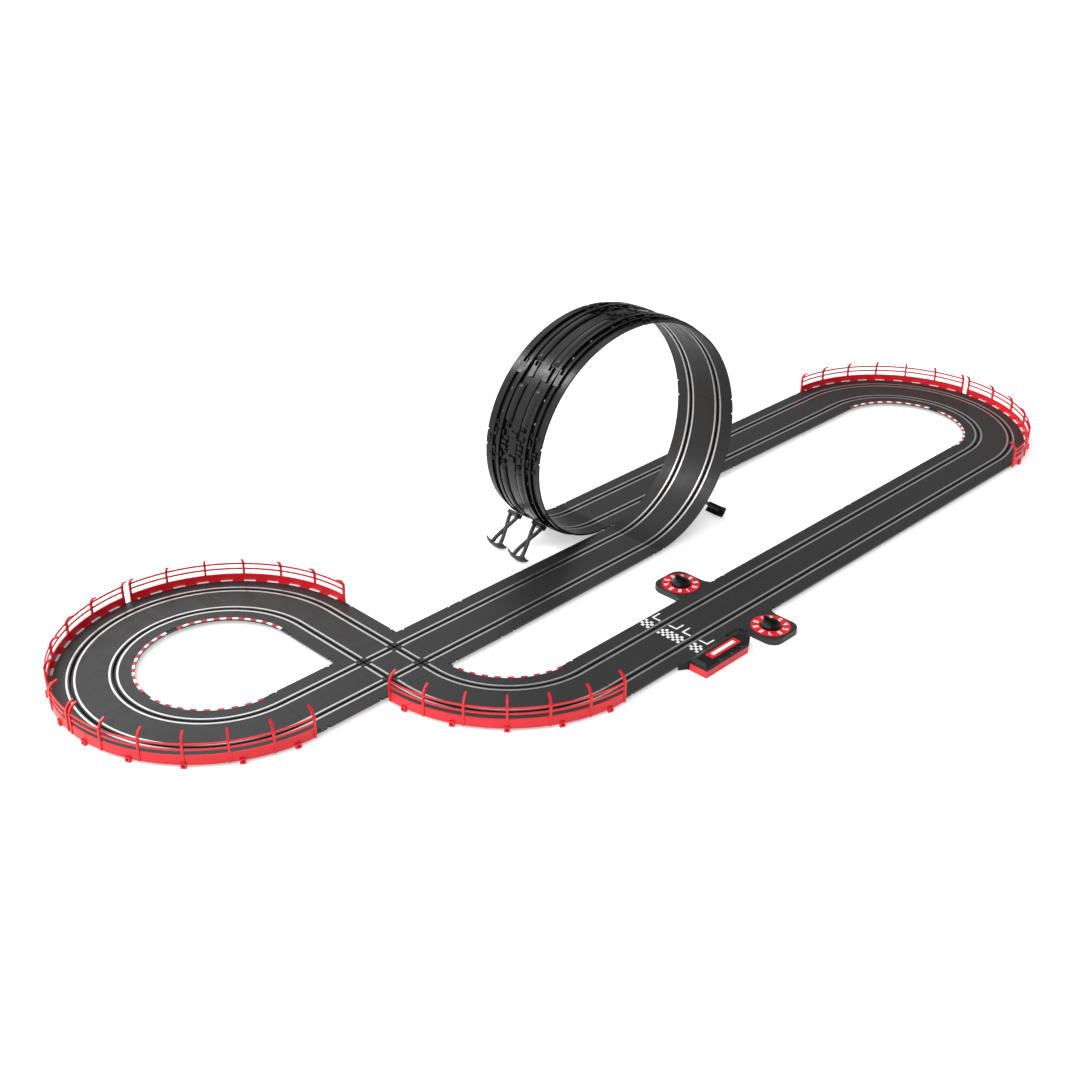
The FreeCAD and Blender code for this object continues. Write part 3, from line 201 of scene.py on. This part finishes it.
SHADE_FROM_DEPTH = 0.0006
SHADE_FULL_DEPTH = 0.0022
LOOP_SLOW = 11
LOOP_GRAIN = 1100
LOOP_PATCHES = 70
INSIDE_DRIFT = 0.14
OUTSIDE_DRIFT = 0.3
LOOP_GLOSS = 0.22
LOOP_RELIEF = 0.00005
INSIDE_ROUGH = (0.34, 0.44)
OUTSIDE_ROUGH = (0.20, 0.32)


def loop_plastic(name, inside, shaded_outside):
    """Road tone on the running surface of the loop; on its outer face, glossy, with the same
    plastic darkened to near black as painted shade.
    """
    look = Look(name)
    about = look.node("ShaderNodeMapping")
    about.inputs["Location"].default_value = (-LOOP_X, 0, -LOOP_Z / LOOP_TALL)
    about.inputs["Scale"].default_value = (1, 0, 1 / LOOP_TALL)
    look.link(look.place, about.inputs["Vector"])
    length = look.node("ShaderNodeVectorMath", operation="LENGTH")
    look.link(about.outputs["Vector"], length.inputs[0])
    # The outer face's darker colour is painted shade on the same plastic, not a different plastic.
    outer_shade_mask = look.spread(length.outputs["Value"], LOOP_R + SHADE_FROM_DEPTH, LOOP_R + SHADE_FULL_DEPTH)
    slow = look.spread(look.noise(LOOP_SLOW, 3), *MIDDLE)
    fine = look.noise(LOOP_GRAIN, 2)
    near = look.mix(slow, shade(inside, 1 - INSIDE_DRIFT), shade(inside, 1 + INSIDE_DRIFT))
    far = look.mix(slow, shade(shaded_outside, 1 - OUTSIDE_DRIFT), shade(shaded_outside, 1 + OUTSIDE_DRIFT))
    look.colour(look.mix(outer_shade_mask, near, far))
    patch = look.noise(LOOP_PATCHES, 4)
    look.rough(look.mix_value(outer_shade_mask, look.spread(patch, *MIDDLE, *INSIDE_ROUGH),
                              look.spread(patch, *MIDDLE, *OUTSIDE_ROUGH)))
    look.shader.inputs[GLOSS].default_value = LOOP_GLOSS
    look.bump(fine, LOOP_RELIEF)
    return look


ROAD = moulded("road_plastic", (0.016, 0.016, 0.0165), 0.40, 0.50, grain=1100, depth=0.00010)
BLACK = moulded("black_plastic", (0.0065, 0.0065, 0.007), 0.32, 0.44, gloss=0.2)
DIAL = moulded("dial_plastic", (0.003, 0.003, 0.0034), 0.20, 0.30, depth=0.00002, gloss=0.3)
RED = moulded("red_plastic", (0.62, 0.010, 0.019), 0.30, 0.42, depth=0.00004, drift=0.06)
# Loop plastic: the second colour is the same plastic darkened as painted shade on the loop's outer
# face.
LOOP = loop_plastic("loop_plastic", (0.013, 0.013, 0.0133), (0.0035, 0.0035, 0.0038))
RED_PRINT = moulded("red_print", (0.56, 0.014, 0.022), 0.30, 0.40, depth=0.00002)
WHITE_PRINT = moulded("white_print", (0.82, 0.82, 0.81), 0.32, 0.42, depth=0.00002, drift=0.04)
RAIL = metal("rail_metal", (0.74, 0.74, 0.74), 0.30, 0.42)
# The loop's rails: the same rail metal, darkened as painted shade.
SHADED_LOOP_RAIL = metal("shaded_loop_rail_metal", (0.46, 0.44, 0.43), 0.34, 0.46)
BRASS = metal("contact_brass", (0.78, 0.60, 0.28), 0.22, 0.34)
SCREW = metal("screw_steel", (0.62, 0.62, 0.62), 0.28, 0.40)

LOOKS = {"road_plastic": ROAD, "black_plastic": BLACK, "dial_plastic": DIAL, "red_plastic": RED,
         "red_print": RED_PRINT, "white_print": WHITE_PRINT, "rail_metal": RAIL,
         "contact_brass": BRASS, "screw_steel": SCREW}
BEVELS = {"road_plastic": 0.00035, "black_plastic": 0.0005, "dial_plastic": 0.0005,
          "red_plastic": 0.0004, "rail_metal": 0.0003}
SHARP = math.radians(40)


def look_of(name, slot):
    """The look of a node: its slot's, apart from the loop's plastic and rails, which carry painted
    shade.
    """
    if name.startswith("loop_segment"):
        return LOOP
    if name == "rails_loop":
        return SHADED_LOOP_RAIL
    return LOOKS[slot]


def soften(piece, width, harden):
    """Small bevel on the sharp edges of a piece."""
    bevel = piece.modifiers.new("edge", "BEVEL")
    bevel.width = width
    bevel.segments = 2
    bevel.limit_method = "ANGLE"
    bevel.angle_limit = SHARP
    bevel.harden_normals = harden


def finish_node(name, slot):
    """Give a CAD node its look and softened edges."""
    node = NODES[name]
    node.data.materials.clear()
    node.data.materials.append(look_of(name, slot).material)
    if slot in BEVELS:
        soften(node, BEVELS[slot], False)


for part in frame["record"]["subparts"]:
    finish_node(part["node"], part["material_slot"])


# ---------------------------------------------------------------- crowned ribs on the loop

# The loop's course, as in the CAD: its sideways drift over one turn, the swing and the entry
# offset that ease it in, and how much its road narrows at the bottom.
LOOP_DRIFT = 0.114
LOOP_EASE = 0.011
LOOP_ENTRY = 0.003
LOOP_BLEND = 60
LOOP_NARROW = 0.06
LOOP_SEAMS = (0, 92, 177, 267, 360)
RIB_CENTRES = (-0.0178, 0.0178)
RIB_HALF = 0.0068
RIB_FOOT = 0.0028
RIB_CROWN = 0.0071
RIB_SHOULDER = 0.0052
RIB_CUTS = 8
RIB_STEP = 1.5
RIB_EDGE = 0.0003
END_LIFT = 0.25
CROWN_FLAT = 0.96
POCKETS_AFTER_MIDDLE = 2.5
CLEAR_OF_SEAM = 11
POCKET_START = 0.5
POCKET_END = 11.5


def loop_place(degrees, across, depth):
    """Point on the loop: angle from the bottom, offset across, depth below its road."""
    angle = math.radians(degrees)
    share = min(degrees / LOOP_BLEND, 1)
    shift = (LOOP_DRIFT * degrees / 360 - LOOP_EASE * math.sin(angle)
             + LOOP_ENTRY * (1 - share * share * (3 - 2 * share)))
    wide = 1 - LOOP_NARROW * math.cos(angle / 2) ** 4
    reach = LOOP_R + depth
    return (LOOP_X + reach * math.sin(angle), shift + across * wide,
            ROAD_Z + (LOOP_R - reach * math.cos(angle)) * LOOP_TALL)


def rib_section(centre, lift):
    """Crowned cross-section of a rib, as (across, depth) points round its outline."""
    points = [(centre - RIB_HALF, RIB_FOOT)]
    for cut in range(RIB_CUTS + 1):
        share = 2 * cut / RIB_CUTS - 1
        crown = math.sqrt(1 - share * share * CROWN_FLAT)
        rise = RIB_SHOULDER + (RIB_CROWN - RIB_SHOULDER) * crown
        points.append((centre + RIB_HALF * share, RIB_FOOT + (rise - RIB_FOOT) * lift))
    return points + [(centre + RIB_HALF, RIB_FOOT)]


def add_rib(mesh, centre, start, end):
    """One rib between two angles, sloping down at both ends."""
    steps = max(4, round((end - start) / RIB_STEP))
    rings = []
    for step in range(steps + 1):
        lift = END_LIFT if step in (0, steps) else 1.0
        degrees = start + (end - start) * step / steps
        rings.append([mesh.verts.new(loop_place(degrees, across, depth))
                      for across, depth in rib_section(centre, lift)])
    count = len(rings[0])
    for near, far in zip(rings, rings[1:]):
        for k in range(count):
            n = (k + 1) % count
            mesh.faces.new((near[k], near[n], far[n], far[k]))
    mesh.faces.new(rings[0][::-1])
    mesh.faces.new(rings[-1])


def add_loop_ribs():
    """Two crowned ribs each side of the joint pockets of every loop segment."""
    for number, (first, last) in enumerate(zip(LOOP_SEAMS, LOOP_SEAMS[1:]), start=1):
        middle = (first + last) / 2 + POCKETS_AFTER_MIDDLE
        spans = ((first + CLEAR_OF_SEAM, middle - POCKET_START),
                 (middle + POCKET_END, last - CLEAR_OF_SEAM))
        shape = bmesh.new()
        for centre in RIB_CENTRES:
            for start, end in spans:
                add_rib(shape, centre, start, end)
        bmesh.ops.recalc_face_normals(shape, faces=shape.faces)
        name = f"loop_ribs_{number}"
        data = bpy.data.meshes.new(name)
        shape.to_mesh(data)
        shape.free()
        for face in data.polygons:
            face.use_smooth = True
        # The ribs take the loop's outer-face colour, which is painted shade.
        data.materials.append(LOOP.material)
        piece = bpy.data.objects.new(name, data)
        scene.collection.objects.link(piece)
        soften(piece, RIB_EDGE, True)
        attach(piece, "track_set")


add_loop_ribs()


# ---------------------------------------------------------------- floor and light

FLOOR_REACH = 14
FLOOR_LEVEL = -0.0004
FLOOR_LIFT = 0.42
FLOOR_TONES = ((0.86, 0.86, 0.86), (0.89, 0.89, 0.89))
WHITE = (1, 1, 1, 1)
KEY = {"place": (-1.6, -1.4, 3.2), "aim": (0.4, 0.0, 0.0), "wide": 2.0, "watts": 32}
FILL = {"place": (2.4, -2.0, 2.4), "aim": (0.6, 0.0, 0.0), "wide": 2.4, "watts": 10}
RIM = {"place": (-1.0, 1.9, 2.2), "aim": (0.42, 0.09, 0.3), "wide": 0.6, "watts": 24}
SURROUND_DIM = 0.32
SURROUND_BRIGHT = 1.95
SURROUND_FROM = -0.02
SURROUND_TO = 0.42


def add_floor():
    """Pale plain floor that keeps only faint shadows."""
    mesh = bpy.data.meshes.new("floor")
    signs = ((-1, -1), (1, -1), (1, 1), (-1, 1))
    corners = [(x * FLOOR_REACH, y * FLOOR_REACH, FLOOR_LEVEL) for x, y in signs]
    mesh.from_pydata(corners, [], [(0, 1, 2, 3)])
    floor = bpy.data.objects.new("floor", mesh)
    scene.collection.objects.link(floor)
    look = Look("floor")
    look.shader.inputs["Roughness"].default_value = 0.9
    look.shader.inputs[GLOSS].default_value = 0
    look.colour(look.mix(look.noise(2, 2), *FLOOR_TONES))
    look.shader.inputs["Emission Color"].default_value = WHITE
    look.shader.inputs["Emission Strength"].default_value = FLOOR_LIFT
    floor.data.materials.append(look.material)


def add_area(name, place, aim, wide, watts):
    """Round soft light aimed at a point."""
    data = bpy.data.lights.new(name, "AREA")
    data.shape = "DISK"
    data.size = wide
    data.energy = watts
    lamp = bpy.data.objects.new(name, data)
    lamp.location = place
    lamp.rotation_euler = (Vector(aim) - Vector(place)).to_track_quat("-Z", "Y").to_euler()
    scene.collection.objects.link(lamp)


def add_world():
    """Soft surround, brighter on the left, with a plain white backdrop behind the floor."""
    world = bpy.data.worlds.new("surround")
    scene.world = world
    world.use_nodes = True
    tree = world.node_tree
    coord = tree.nodes.new("ShaderNodeTexCoord")
    split = tree.nodes.new("ShaderNodeSeparateXYZ")
    across = tree.nodes.new("ShaderNodeMath")
    across.operation = "SUBTRACT"
    spread = tree.nodes.new("ShaderNodeMapRange")
    spread.interpolation_type = "SMOOTHSTEP"
    spread.inputs["From Min"].default_value = SURROUND_FROM
    spread.inputs["From Max"].default_value = SURROUND_TO
    spread.inputs["To Min"].default_value = SURROUND_DIM
    spread.inputs["To Max"].default_value = SURROUND_BRIGHT
    tree.links.new(coord.outputs["Generated"], split.inputs["Vector"])
    tree.links.new(split.outputs["Y"], across.inputs[0])
    tree.links.new(split.outputs["X"], across.inputs[1])
    tree.links.new(across.outputs["Value"], spread.inputs["Value"])
    back = tree.nodes["Background"]
    back.inputs["Color"].default_value = WHITE
    tree.links.new(spread.outputs["Result"], back.inputs["Strength"])
    plain = tree.nodes.new("ShaderNodeBackground")
    plain.inputs["Color"].default_value = WHITE
    ray = tree.nodes.new("ShaderNodeLightPath")
    seen = tree.nodes.new("ShaderNodeMixShader")
    tree.links.new(ray.outputs["Is Camera Ray"], seen.inputs["Fac"])
    tree.links.new(back.outputs["Background"], seen.inputs[1])
    tree.links.new(plain.outputs["Background"], seen.inputs[2])
    tree.links.new(seen.outputs["Shader"], tree.nodes["World Output"].inputs["Surface"])


add_camera()
add_floor()
add_world()
add_area("key", **KEY)
add_area("fill", **FILL)
add_area("rim", **RIM)
scene.view_settings.view_transform = "Standard"
scene.view_settings.look = "None"
